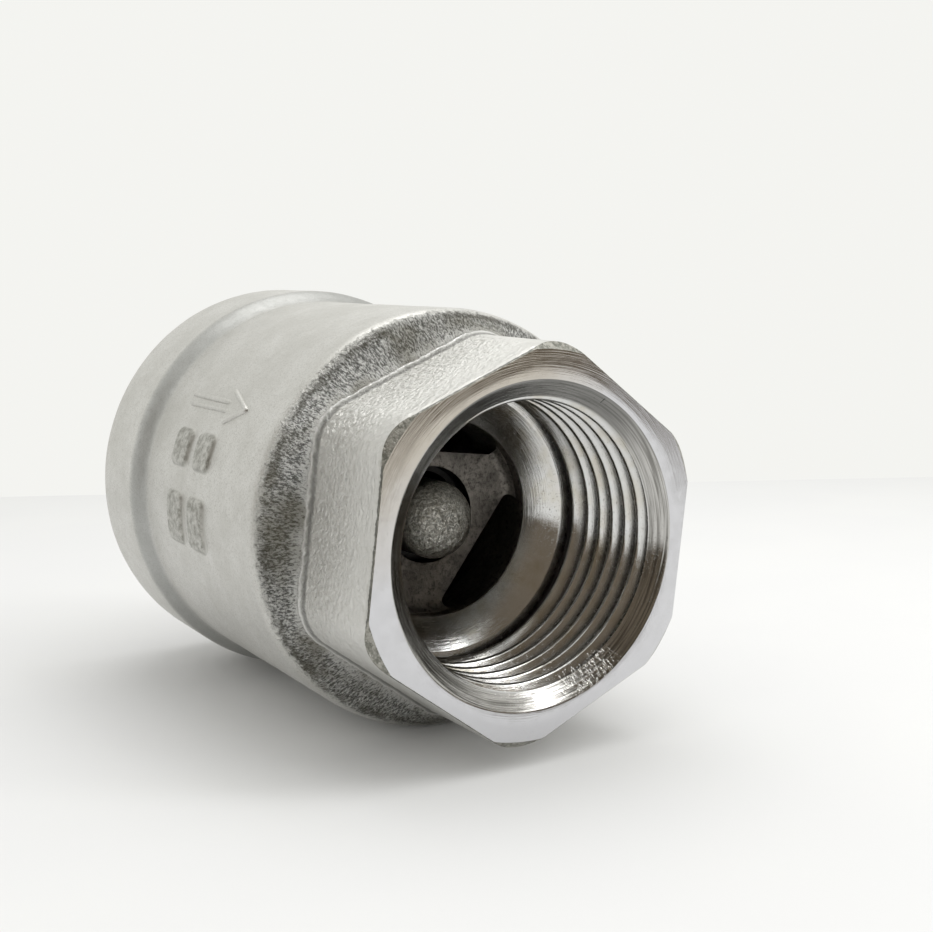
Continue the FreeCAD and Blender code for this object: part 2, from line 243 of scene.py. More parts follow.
def cast_outside():
    """Blasted investment casting: satin barrel, rippled hexagon and a coarse band at the shoulder."""
    s = Shader("cast_outside")
    around = s.math("MULTIPLY", s.angle, 22.0)
    depth_in = s.math("SUBTRACT", OUTLET_FACE, s.along)
    waver = s.math("MULTIPLY", s.noise(0.9, 3.0), 0.6)
    wavy_depth = s.math("ADD", depth_in, waver)
    coarse_start = s.ranged(wavy_depth, OUTLET_HEX_LENGTH + 0.17, OUTLET_HEX_LENGTH + 0.42)
    frayed = s.math("ADD", wavy_depth, s.math("MULTIPLY", s.noise(1.8, 3.0, 0.75), 1.8))
    coarse_end = s.ranged(frayed, OUTLET_HEX_LENGTH + 3.7, OUTLET_HEX_LENGTH + 4.7, 1.0, 0.0)
    coarse = s.times(coarse_start, coarse_end)
    outlet_flats = s.band(depth_in, 0.6, OUTLET_HEX_LENGTH - 0.2, 0.5)
    inlet_flats = s.band(s.along, 0.6, INLET_HEX_LENGTH - 0.2, 0.5)
    on_flats = s.math("ADD", outlet_flats, inlet_flats)
    near_base = s.ranged(depth_in, 2.0, OUTLET_HEX_LENGTH - 2.0, 0.25, 1.0)

    fur_place = s.vector(s.math("MULTIPLY", s.along, 0.42), around, s.math("MULTIPLY", s.radius, 0.4))
    tufts = s.ranged(wavy_depth, OUTLET_HEX_LENGTH + 0.4, OUTLET_HEX_LENGTH + 1.3, 0.09, 0.0)
    fur = s.math("ADD", s.noise(5.0, 4.0, 0.75, fur_place, 0.25), tufts)
    strokes = s.vector(s.math("MULTIPLY", s.along, 1.6), s.math("MULTIPLY", around, 0.85), 0.0)
    ripple = s.noise(1.4, 3.0, 0.55, strokes, 0.4)
    grit = s.noise(5.0, 3.0, 0.7)
    smooth = s.blend(0.6, grit, s.noise(0.6, 3.0))
    height = s.blend(on_flats, smooth, s.times(ripple, near_base, 12.0))
    height = s.blend(coarse, height, s.math("MULTIPLY", fur, 8.0))

    mottle = s.ranged(s.noise(0.12, 4.0, 0.7), 0.35, 0.65)
    colour = s.mix(mottle, (0.60, 0.595, 0.565), (0.68, 0.675, 0.65))
    colour = s.mix(s.ranged(grit, 0.30, 0.55), (0.50, 0.49, 0.46), colour)
    colour = s.mix(s.math("MULTIPLY", on_flats, 0.8), colour, (0.70, 0.695, 0.67))
    # painted shade: the valleys of the ripple on the flats are darkened, most towards the hexagon's base
    painted_valley_shade = s.times(on_flats, s.ranged(ripple, 0.30, 0.52, 1.0, 0.0), near_base, 0.32)
    colour = s.mix(painted_valley_shade, colour, (0.40, 0.39, 0.36))
    oily = s.ranged(s.noise(0.10, 3.0), 0.42, 0.6)
    dark_strand = s.mix(oily, (0.15, 0.15, 0.14), (0.13, 0.125, 0.10))
    light_strand = s.mix(oily, (0.76, 0.76, 0.74), (0.40, 0.39, 0.35))
    strands = s.mix(s.ranged(fur, 0.41, 0.61), dark_strand, light_strand)
    colour = s.mix(coarse, colour, strands)
    outer_edge = s.band(frayed, OUTLET_HEX_LENGTH + 3.4, OUTLET_HEX_LENGTH + 4.1, 0.3)
    soiled = s.times(outer_edge, s.ranged(s.noise(0.22, 3.0), 0.42, 0.58), 0.65)
    colour = s.mix(soiled, colour, (0.075, 0.07, 0.05))
    # painted shade: a dark band in the concave sweep at the base of the hexagon
    groove = s.band(wavy_depth, OUTLET_HEX_LENGTH - 0.75, OUTLET_HEX_LENGTH - 0.1, 0.25)
    colour = s.mix(s.math("MULTIPLY", groove, 0.75), colour, (0.22, 0.22, 0.21))
    # painted highlight: a thin bright line along the ridge where the shoulder starts
    ridge = s.band(wavy_depth, OUTLET_HEX_LENGTH + 0.05, OUTLET_HEX_LENGTH + 0.28, 0.08)
    colour = s.mix(s.math("MULTIPLY", ridge, 0.6), colour, (0.85, 0.85, 0.84))
    # painted shade: the slope of the neck up to the ring is darkened
    painted_neck_shade = s.band(s.along, NECK_END + 0.3, NECK_START - 0.5, 0.7)
    colour = s.mix(s.math("MULTIPLY", painted_neck_shade, 0.5), colour, (0.26, 0.27, 0.27))
    edge = s.math("ADD", depth_in, s.math("MULTIPLY", s.noise(2.2, 3.0, 0.7), -0.75))
    colour = s.mix(s.ranged(edge, -0.12, 0.04, 0.9, 0.0), colour, (0.10, 0.10, 0.09))
    roughness = s.ranged(s.noise(0.9, 4.0), 0.3, 0.7, 0.38, 0.50)
    return s.finish(colour, roughness, height, 0.07)


def cast_mark():
    """Raised marks on the barrel, with patchy dirt on their tops."""
    s = Shader("cast_mark")
    grit = s.noise(4.0, 3.0, 0.7)
    patches = s.noise(1.1, 4.0, 0.7)
    soiled = s.mix(s.ranged(patches, 0.34, 0.66), (0.29, 0.285, 0.255), (0.56, 0.555, 0.525))
    edge = s.math("ADD", s.radius, s.math("MULTIPLY", patches, 0.25))
    on_mark = s.ranged(edge, BARREL_RADIUS + 0.10, BARREL_RADIUS + 0.32)
    colour = s.mix(on_mark, (0.60, 0.595, 0.565), soiled)
    roughness = s.ranged(s.noise(0.9, 4.0), 0.3, 0.7, 0.38, 0.50)
    return s.finish(colour, roughness, grit, 0.06)


def turned_corner():
    """The corners of the hexagon where the turned cone meets the rough casting: dark and mottled."""
    s = Shader("turned_corner")
    mottle = s.noise(1.5, 4.0, 0.75)
    fine = s.noise(4.0, 3.0, 0.7)
    colour = s.mix(s.ranged(mottle, 0.40, 0.62), (0.20, 0.20, 0.175), (0.42, 0.41, 0.37))
    colour = s.mix(s.ranged(fine, 0.58, 0.72), colour, (0.66, 0.65, 0.62))
    roughness = s.ranged(mottle, 0.3, 0.7, 0.50, 0.34)
    return s.finish(colour, roughness, s.math("ADD", mottle, fine), 0.12)


def machined():
    """Turned steel inside the mouths: fine tool lines round the axis, and painted shade deep in the thread.
    """
    s = Shader("machined")
    lines = s.vector(s.math("MULTIPLY", s.along, 9.0), s.math("MULTIPLY", s.radius, 9.0), s.angle)
    tool = s.noise(1.0, 3.0, 0.7, lines)
    patch_place = s.vector(s.math("MULTIPLY", s.along, 0.3), s.math("MULTIPLY", s.angle, 2.0), 0.0)
    patches = s.ranged(s.noise(1.3, 3.0, 0.6, patch_place), 0.45, 0.7)
    colour = s.mix(patches, (0.69, 0.69, 0.68), (0.58, 0.55, 0.48))
    speckle = s.ranged(s.noise(4.5, 2.0, 0.7), 0.60, 0.75)
    colour = s.mix(s.math("MULTIPLY", speckle, 0.35), colour, (0.30, 0.29, 0.28))

    depth_in = s.math("SUBTRACT", OUTLET_FACE, s.along)
    threaded = s.ranged(depth_in, MOUTH_DEPTH - 0.2, MOUTH_DEPTH + 0.2)
    # painted shade: the roots of the thread are darkened
    deep = s.ranged(s.radius, CREST_RADIUS + 0.15, CREST_RADIUS + 1.5)
    colour = s.mix(s.times(deep, threaded, 0.9), colour, (0.085, 0.08, 0.07))

    # the countersink is ribbed and a little darker, and scarred where the first turn starts
    countersunk = s.ranged(depth_in, MOUTH_DEPTH - 0.2, MOUTH_DEPTH + 0.1, 1.0, 0.0)
    rib_place = s.vector(s.math("MULTIPLY", s.radius, 5.0), s.math("MULTIPLY", s.angle, 1.5), 0.0)
    ribs = s.noise(1.0, 3.0, 0.7, rib_place)
    ribbed = s.mix(s.ranged(ribs, 0.35, 0.62), (0.22, 0.215, 0.20), (0.54, 0.53, 0.51))
    # painted shade: the top of the countersink is darkened
    painted_top_shade = s.math("MULTIPLY", s.band(s.angle, -0.7, 0.85, 0.3), 0.72)
    ribbed = s.mix(painted_top_shade, ribbed, (0.13, 0.13, 0.125))
    colour = s.mix(countersunk, colour, ribbed)
    scar_zone = s.times(s.band(s.angle, 2.5, 2.88, 0.1), s.ranged(depth_in, 2.4, 3.0, 1.0, 0.0))
    scars = s.vector(s.math("MULTIPLY", s.angle, 42.0), s.math("MULTIPLY", s.along, 1.6), 0.0)
    scarred = s.times(s.ranged(s.noise(1.0, 2.0, 0.6, scars), 0.50, 0.60), scar_zone)
    colour = s.mix(scarred, colour, (0.78, 0.78, 0.76))

    roughness = s.ranged(s.noise(1.2, 4.0), 0.3, 0.7, 0.08, 0.17)
    roughness = s.math("ADD", roughness, s.times(deep, threaded, 0.2))
    height = s.math("ADD", tool, s.math("MULTIPLY", speckle, 0.5))
    height = s.math("ADD", height, s.times(ribs, countersunk, 1.6))
    height = s.math("ADD", height, s.math("MULTIPLY", scarred, 2.5))
    return s.finish(colour, roughness, height, 0.015)


def turned_face():
    """The turned end faces: concentric tool marks and faint stains."""
    s = Shader("turned_face")
    lines = s.vector(s.math("MULTIPLY", s.radius, 7.0), s.math("MULTIPLY", s.angle, 2.0), 0.0)
    tool = s.noise(1.0, 2.0, 0.6, lines)
    # painted reflection: the face is browner towards the top and paler towards the bottom
    slanted = s.math("SUBTRACT", s.up, s.math("MULTIPLY", s.across, 0.6))
    painted_reflection = s.ranged(s.math("ADD", slanted, s.math("MULTIPLY", s.noise(0.15, 2.0), 8.0)), 12.0, 25.0)
    colour = s.mix(painted_reflection, (0.64, 0.64, 0.66), (0.53, 0.49, 0.43))
    stains = s.ranged(s.noise(1.6, 4.0, 0.7), 0.62, 0.74)
    colour = s.mix(s.math("MULTIPLY", stains, 0.4), colour, (0.30, 0.29, 0.26))
    roughness = s.ranged(s.noise(0.7, 4.0), 0.3, 0.7, 0.16, 0.27)
    return s.finish(colour, roughness, tool, 0.02)


def cast_inside(name, dark, light):
    """The casting where it was not blasted or turned, with a rough skin."""
    s = Shader(name)
    grain = s.noise(2.2, 4.0, 0.7)
    broad = s.noise(0.35, 3.0)
    middle = tuple((first + second) / 2 for first, second in zip(dark, light))
    colour = s.mix(s.ranged(broad, 0.35, 0.65), middle, light)
    colour = s.mix(s.ranged(grain, 0.3, 0.55), dark, colour)
    roughness = s.ranged(grain, 0.3, 0.7, 0.50, 0.38)
    return s.finish(colour, roughness, grain, 0.08)


def hammered():
    """The disc and its stem: dark grey, dimpled at the end of the stem."""
    s = Shader("hammered")
    dimples = s.cells(1.3)
    grain = s.noise(3.2, 3.0, 0.65, None, 0.8)
    at_end = s.ranged(s.along, STEM_END - 3.6, STEM_END - 2.8)
    beaten = s.math("ADD", dimples, s.math("MULTIPLY", grain, 1.3))
    height = s.blend(at_end, s.math("MULTIPLY", grain, 0.3), beaten)
    colour = s.mix(s.ranged(grain, 0.36, 0.64), (0.42, 0.415, 0.38), (0.88, 0.87, 0.81))
    colour = s.mix(at_end, s.mix(0.5, colour, (0.55, 0.54, 0.52)), colour)
    roughness = s.ranged(s.noise(0.9, 3.0), 0.3, 0.7, 0.28, 0.40)
    return s.finish(colour, roughness, height, 0.14)


def turned_steel():
    """Small turned parts: washer and nut."""
    s = Shader("turned_steel")
    lines = s.vector(s.math("MULTIPLY", s.along, 7.0), s.math("MULTIPLY", s.radius, 7.0), s.angle)
    tool = s.noise(1.0, 3.0, 0.7, lines)
    colour = s.mix(s.ranged(s.noise(0.5, 4.0), 0.35, 0.65), (0.50, 0.49, 0.47), (0.60, 0.59, 0.57))
    roughness = s.ranged(s.noise(1.5, 4.0), 0.3, 0.7, 0.20, 0.34)
    return s.finish(colour, roughness, tool, 0.02)


def drawn_wire():
    """Spring wire and lock washer: bright, with faint marks from drawing."""
    s = Shader("drawn_wire")
    marks = s.noise(3.0, 3.0, 0.6)
    colour = s.mix(s.ranged(s.noise(0.7, 3.0), 0.35, 0.65), (0.55, 0.55, 0.55), (0.66, 0.66, 0.65))
    roughness = s.ranged(marks, 0.3, 0.7, 0.18, 0.30)
    return s.finish(colour, roughness, marks, 0.01)


def seal_white():
    """The fluoropolymer seal and gasket: waxy white with light scuffs."""
    s = Shader("seal_white")
    scuffs = s.noise(2.0, 5.0, 0.7)
    colour = s.mix(s.ranged(scuffs, 0.5, 0.75), (0.84, 0.83, 0.79), (0.68, 0.67, 0.62))
    roughness = s.ranged(scuffs, 0.3, 0.7, 0.42, 0.60)
    return s.finish(colour, roughness, scuffs, 0.03, metallic=0.0)


CAST_OUTSIDE = cast_outside()
MACHINED = machined()
TURNED_FACE = turned_face()
CAST_MARK = cast_mark()
TURNED_CORNER = turned_corner()
CAST_INSIDE = cast_inside("cast_inside", (0.09, 0.084, 0.075), (0.27, 0.25, 0.225))
# near-black painted shade for the guide bore in the spider's hub
GUIDE_BORE_SHADE = cast_inside("guide_bore_shade", (0.02, 0.02, 0.02), (0.05, 0.048, 0.045))
HAMMERED = hammered()
TURNED_STEEL = turned_steel()
DRAWN_WIRE = drawn_wire()
SEAL_WHITE = seal_white()


# ---------------------------------------------------------------- meshes

def add_mesh(name, verts, faces, materials, face_materials=None, crease=CREASE):
    """A mesh object from places in millimetres, its normals outwards and its creases kept sharp."""
    mesh = bpy.data.meshes.new(name)
    mesh.from_pydata((np.asarray(verts) * MM).tolist(), [], faces)
    for material in materials:
        mesh.materials.append(material)
    if face_materials is not None:
        mesh.polygons.foreach_set("material_index", face_materials)
    work = bmesh.new()
    work.from_mesh(mesh)
    bmesh.ops.recalc_face_normals(work, faces=work.faces)
    work.to_mesh(mesh)
    work.free()
    mesh.polygons.foreach_set("use_smooth", [True] * len(mesh.polygons))
    mesh.set_sharp_from_angle(angle=math.radians(crease))
    made = bpy.data.objects.new(name, mesh)
    bpy.context.scene.collection.objects.link(made)
    return made


def revolve(name, rows, closed=True, drop=0.0, skin=0.0):
    """A mesh turned about the axis of flow through rows of (place along, radius, material).

    A place or radius is one number, or one value for each clock angle. A closed outline makes a
    ring; an open one ends on the axis. skin is the depth of the unevenness of cast rows.
    """
    count = len(rows)
    verts = np.empty((count, SEGMENTS, 3))
    for index, (along, radius, material) in enumerate(rows):
        verts[index, :, 0] = along
        verts[index, :, 1] = radius * np.sin(CLOCK)
        verts[index, :, 2] = radius * np.cos(CLOCK)
        if skin and material is CAST_OUTSIDE:
            # broad and fine unevenness, shifted so that the skin stays under its row
            for side in range(SEGMENTS):
                place = Vector(verts[index, side])
                push = skin * (noise.noise(place * 0.16) + 0.5 * noise.noise(place * 0.5) - 0.9)
                verts[index, side, 1] += push * math.sin(CLOCK[side])
                verts[index, side, 2] += push * math.cos(CLOCK[side])
    materials = list(dict.fromkeys(material for _, _, material in rows))
    faces = []
    face_materials = []
    for index in range(count if closed else count - 1):
        following = (index + 1) % count
        for side in range(SEGMENTS):
            beside = (side + 1) % SEGMENTS
            faces.append((
                index * SEGMENTS + side,
                index * SEGMENTS + beside,
                following * SEGMENTS + beside,
                following * SEGMENTS + side,
            ))
        face_materials += [materials.index(rows[index][2])] * SEGMENTS
    verts = verts.reshape(-1, 3)
    if not closed:
        tips = [(rows[0][0], 0.0, 0.0), (rows[-1][0], 0.0, 0.0)]
        verts = np.vstack([verts, tips])
        for tip, index in ((count * SEGMENTS, 0), (count * SEGMENTS + 1, count - 1)):
            for side in range(SEGMENTS):
                beside = (side + 1) % SEGMENTS
                faces.append((index * SEGMENTS + side, index * SEGMENTS + beside, tip))
            face_materials += [materials.index(rows[index][2])] * SEGMENTS
    verts[:, 2] -= drop
    return add_mesh(name, verts, faces, materials, face_materials)


def tube(name, points, radius, material, sides=8):
    """A round wire through points, closed at its ends."""
    curve = bpy.data.curves.new(name + "_path", "CURVE")
    curve.dimensions = "3D"
    curve.bevel_depth = radius * MM
    curve.bevel_resolution = sides // 2
    curve.use_fill_caps = True
    spline = curve.splines.new("POLY")
    spline.points.add(len(points) - 1)
    for point, place in zip(spline.points, points):
        point.co = (*[value * MM for value in place], 1.0)
    holder = bpy.data.objects.new(name + "_path", curve)
    bpy.context.scene.collection.objects.link(holder)
    bpy.context.view_layer.update()
    mesh = bpy.data.meshes.new_from_object(holder)
    bpy.data.objects.remove(holder)
    mesh.materials.clear()
    mesh.materials.append(material)
    mesh.polygons.foreach_set("use_smooth", [True] * len(mesh.polygons))
    made = bpy.data.objects.new(name, mesh)
    bpy.context.scene.collection.objects.link(made)
    return made


def on_barrel(along, clock, height=0.0):
    """A place on the barrel, at a clock angle in degrees and a height above its surface."""
    turned = math.radians(clock)
    radius = BARREL_RADIUS + height
    return (along, radius * math.sin(turned), radius * math.cos(turned))


def place_piece(piece, body, slot, *nodes):
    """Let a piece ride on a body in place of CAD nodes; slot is not used."""
    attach(piece, body)
    if nodes:
        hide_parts(*nodes)


# ---------------------------------------------------------------- outlines shared by both ends

def hexagon_radius(apothem):
    """The distance from the axis to a hexagon with rounded corners, at every clock angle."""
    from_corner = np.radians(np.abs((np.degrees(CLOCK) - HEX_CLOCK + 30) % 60 - 30))
    sixth = math.pi / 6
    centre = (apothem - HEX_CORNER) / math.cos(sixth)
    reach = np.maximum(HEX_CORNER**2 - (centre * np.sin(from_corner)) ** 2, 0.0)
    corner = centre * np.cos(from_corner) + np.sqrt(reach)
    flat = apothem / np.cos(sixth - from_corner)
    meeting = math.atan2(HEX_CORNER / 2, centre + HEX_CORNER * math.cos(sixth))
    return np.where(from_corner < meeting, corner, flat)


def hexagon_rows(face, inward, length, base, face_radius, slope=1.0):
    """Rows from the edge of a mouth over the end face, the turned corners and the flats.

    The corners are turned to a cone that starts at face_radius and rises by slope for each
    millimetre of depth.
    """
    at_face = hexagon_radius(HEX_APOTHEM)
    turned = np.minimum(face_radius, at_face - EDGE_BREAK)
    rise = at_face - turned
    bevel = rise / slope
    inner = MOUTH_RADIUS + LIP
    rows = [(face, inner + (turned - inner) * share, TURNED_FACE) for share in (0.0, 0.5, 0.97)]
    for share in (0.0, 0.33, 0.67):
        rows.append((face + inward * bevel * share, turned + rise * share, TURNED_CORNER))
    flat_end = length - BASE_SWEEP
    for share in np.linspace(0, 1, 12):
        depth = bevel + (flat_end - bevel) * share
        radius = hexagon_radius(HEX_APOTHEM) + HEX_TAPER * depth
        rows.append((face + inward * depth, radius, CAST_OUTSIDE))
    for share in np.linspace(0, 1, 7)[1:]:
        depth = flat_end + BASE_SWEEP * share
        radius = hexagon_radius(HEX_APOTHEM) + HEX_TAPER * depth + base * share**2.2
        rows.append((face + inward * depth, radius, CAST_OUTSIDE))
    return rows


def passage_rows(face, inward, throat_depth):
    """Rows from the throat out through the cone, the relief groove and the thread to the mouth."""
    cone_end = CREST_RADIUS + 0.05
    relief_depth = throat_depth - CONE_LENGTH
    land_depth = relief_depth - RELIEF_LENGTH
    outline = [
        # throat and cone
        (throat_depth + 0.25, THROAT_RADIUS),
        (throat_depth, THROAT_RADIUS + 0.12),
        (relief_depth + 0.1, cone_end - 0.15),
        (relief_depth, cone_end),
        # relief groove
        (relief_depth - 0.03, ROOT_RADIUS - 0.3),
        (relief_depth - 0.12, ROOT_RADIUS - 0.1),
        (relief_depth - 0.35, ROOT_RADIUS),
        (land_depth + 0.3, ROOT_RADIUS),
        # land between the groove and the thread
        (land_depth + 0.15, CREST_RADIUS + 0.35),
        (land_depth, CREST_RADIUS + 0.1),
        (land_depth - 0.2, CREST_RADIUS),
        (land_depth - 0.42, CREST_RADIUS + 0.1),
        (land_depth - 1.1, ROOT_RADIUS - 0.2),
        (land_depth - LAND_LENGTH, ROOT_RADIUS),
        # wall under the thread's ridge, and the countersink
        (land_depth - LAND_LENGTH - 0.3, UNDER_THREAD),
        (MOUTH_DEPTH + 0.6, UNDER_THREAD),
        (MOUTH_DEPTH + 0.3, ROOT_RADIUS),
        (MOUTH_DEPTH, MOUTH_FOOT_RADIUS),
        (0.25, MOUTH_RADIUS - 0.15),
        (0.05, MOUTH_RADIUS + 0.08),
    ]
    return [(face + inward * depth, radius, MACHINED) for depth, radius in outline]


def thread_ridge(name, face, inward, throat_depth):
    """The ridge of a right-hand G1 thread, from the mouth's countersink to the relief groove."""
    crest_round = 0.42
    flank = math.radians(27.5)
    round_steps = 8
    fade_turns = 0.3
    per_turn = 300
    base_radius = UNDER_THREAD - 0.05
    tangent_half = crest_round * math.cos(flank)
    tangent_radius = CREST_RADIUS + crest_round * (1 - math.sin(flank))
    base_half = tangent_half + (base_radius - tangent_radius) * math.tan(flank)
    base_half = max(base_half, PITCH / 2 + 0.01)
    section = [(-base_half, base_radius)]
    for step in range(round_steps + 1):
        swing = -math.pi / 2 + flank + (math.pi - 2 * flank) * step / round_steps
        section.append((crest_round * math.sin(swing), CREST_RADIUS + crest_round * (1 - math.cos(swing))))
    section.append((base_half, base_radius))
    last = throat_depth - CONE_LENGTH - RELIEF_LENGTH - LAND_LENGTH
    turns = (last - THREAD_START) / PITCH
    stations = int(turns * per_turn)
    verts = []
    for station in range(stations + 1):
        turned = station / per_turn
        fade = math.sin(min((turns - turned) / fade_turns, 1.0) * math.pi / 2)
        clock = math.radians(THREAD_START_CLOCK) - inward * 2 * math.pi * turned
        for offset, radius in section:
            depth = THREAD_START + PITCH * turned + offset
            reach = base_radius + (radius - base_radius) * (0.05 + 0.95 * fade)
            # the countersink cuts the first turn away, and the ridge stays just behind its surface
            cut = MOUTH_RADIUS - (MOUTH_RADIUS - MOUTH_FOOT_RADIUS) * depth / MOUTH_DEPTH
            reach = max(reach, cut + BEHIND_SURFACE)
            along = face + inward * max(depth, LEAST_DEPTH)
            verts.append((along, reach * math.sin(clock), reach * math.cos(clock)))
    size = len(section)
    faces = [tuple(range(size)), tuple(range(stations * size, (stations + 1) * size))]
    for station in range(stations):
        for point in range(size):
            beside = (point + 1) % size
            faces.append((
                station * size + point,
                station * size + beside,
                (station + 1) * size + beside,
                (station + 1) * size + point,
            ))
    return add_mesh(name, verts, faces, [MACHINED], crease=60.0)


# ---------------------------------------------------------------- body

def shoulder_rows():
    """Rows from the base of the outlet hexagon up the coarse band and round onto the barrel."""
    start_radius = hexagon_radius(HEX_APOTHEM) + HEX_TAPER * OUTLET_HEX_LENGTH + BASE_RISE
    centre_radius = BARREL_RADIUS - SHOULDER_ROUND
    to_centre = np.hypot(SHOULDER_DEPTH - OUTLET_HEX_LENGTH, centre_radius - start_radius)
    heading = np.arctan2(centre_radius - start_radius, SHOULDER_DEPTH - OUTLET_HEX_LENGTH)
    slope = heading + np.arcsin(SHOULDER_ROUND / to_centre)
    run = np.sqrt(to_centre**2 - SHOULDER_ROUND**2)
    rows = []
    for share in np.linspace(0, 1, 10)[1:-1]:
        depth = OUTLET_HEX_LENGTH + run * share * np.cos(slope)
        radius = start_radius + run * share * np.sin(slope)
        rows.append((OUTLET_FACE - depth, radius, CAST_OUTSIDE))
    for share in np.linspace(1, 0, 9):
        turned = slope * share
        depth = SHOULDER_DEPTH - SHOULDER_ROUND * np.sin(turned)
        radius = centre_radius + SHOULDER_ROUND * np.cos(turned)
        rows.append((OUTLET_FACE - depth, radius, CAST_OUTSIDE))
    return rows


def barrel_rows():
    """Rows along the barrel, up the neck, over the ring and down its face to the body's mouth."""
    rows = []
    for along in np.linspace(OUTLET_FACE - SHOULDER_DEPTH - 1.5, NECK_START + 0.8, 16):
        rows.append((along, BARREL_RADIUS, CAST_OUTSIDE))
    ring_top = RING_RADIUS - 0.03
    for share in np.linspace(0, 1, 12):
        eased = share * share * (3 - 2 * share)
        along = NECK_START + (NECK_END - NECK_START) * share
        rows.append((along, BARREL_RADIUS + (ring_top - BARREL_RADIUS) * eased, CAST_OUTSIDE))
    round_start = RING_FACE + RING_ROUND
    for along in np.linspace(NECK_END - 1.5, round_start + 1.5, 5):
        rows.append((along, ring_top, CAST_OUTSIDE))
    for turned in np.linspace(0, math.pi / 2, 8):
        along = round_start - RING_ROUND * math.sin(turned)
        rows.append((along, ring_top - RING_ROUND * (1 - math.cos(turned)), CAST_OUTSIDE))
    rows[-1] = (RING_FACE, rows[-1][1], MACHINED)
    rows.append((RING_FACE, BODY_MOUTH_RADIUS + 0.1, MACHINED))
    return rows


def inside_rows():
    """Rows from the body's mouth through the chamber to the throat behind the spider."""
    return [
        # screwed joint with the cap
        (RING_FACE + 0.1, BODY_MOUTH_RADIUS, MACHINED),
        (RING_FACE + 1.0, BODY_THREAD_RADIUS, MACHINED),
        (SEAT_FACE + 0.8, BODY_THREAD_RADIUS, MACHINED),
        # chamber
        (SEAT_FACE + 0.85, CHAMBER_RADIUS, CAST_INSIDE),
        (CHAMBER_END, CHAMBER_RADIUS, CAST_INSIDE),
        (CHAMBER_END + 1.0, CHAMBER_RADIUS - 0.8, CAST_INSIDE),
        (SPIDER_BACK - 0.4, SPIDER_BACK_RADIUS + 0.7, CAST_INSIDE),
        # throat round the spider
        (SPIDER_BACK, SPIDER_BACK_RADIUS, CAST_INSIDE),
        (SPIDER_BACK, THROAT_RADIUS + 0.3, CAST_INSIDE),
        (SPIDER_BACK + 0.3, THROAT_RADIUS, CAST_INSIDE),
        (SPIDER_FACE, THROAT_RADIUS, CAST_INSIDE),
    ]


def make_body():
    """The cast body with its outlet hexagon, barrel, ring and passage, and its thread's ridge."""
    rows = hexagon_rows(OUTLET_FACE, -1, OUTLET_HEX_LENGTH, BASE_RISE, OUTLET_FACE_RADIUS)
    rows += shoulder_rows() + barrel_rows() + inside_rows()
    rows += passage_rows(OUTLET_FACE, -1, OUTLET_THROAT_DEPTH)
    casting = revolve("body_casting", rows, skin=CAST_SKIN)
    place_piece(casting, "valve_body", "cast_steel", "body")
    ridge = thread_ridge("outlet_thread", OUTLET_FACE, -1, OUTLET_THROAT_DEPTH)
    place_piece(ridge, "valve_body", "cast_steel", "body")


def window_cutter(clock):
    """A prism through the spider: the part of the throat beyond a chord, with rounded ends."""
    inner_round = WINDOW_ROUND
    outer = THROAT_RADIUS + 0.02
    wall_steps = 32
    round_steps = 12
    past = 3.0
    # a rounding circle touches the chord and the throat's wall from inside
    circle_up = WINDOW_CHORD + inner_round
    circle_across = math.sqrt((outer - inner_round) ** 2 - circle_up**2)
    meeting = math.atan2(circle_across, circle_up)
    outline = []
    for step in range(wall_steps + 1):
        swing = -meeting + 2 * meeting * step / wall_steps
        outline.append((outer * math.sin(swing), outer * math.cos(swing)))
    rounded_end = []
    for step in range(1, round_steps):
        swing = meeting + (math.pi - meeting) * step / round_steps
        across = circle_across + inner_round * math.sin(swing)
        rounded_end.append((across, circle_up + inner_round * math.cos(swing)))
    rounded_end.append((circle_across, WINDOW_CHORD))
    outline += rounded_end
    outline += [(-across, up) for across, up in reversed(rounded_end)]
    turned = math.radians(clock)
    verts = []
    for along in (SPIDER_BACK - past, SPIDER_FACE + past):
        for across, up in outline:
            y = across * math.cos(turned) + up * math.sin(turned)
            z = up * math.cos(turned) - across * math.sin(turned)
            verts.append((along, y, z))
    size = len(outline)
    faces = [tuple(range(size)), tuple(range(size, 2 * size))]
    faces += [(side, (side + 1) % size, size + (side + 1) % size, size + side) for side in range(size)]
    return add_mesh("window_cutter", verts, faces, [CAST_INSIDE])


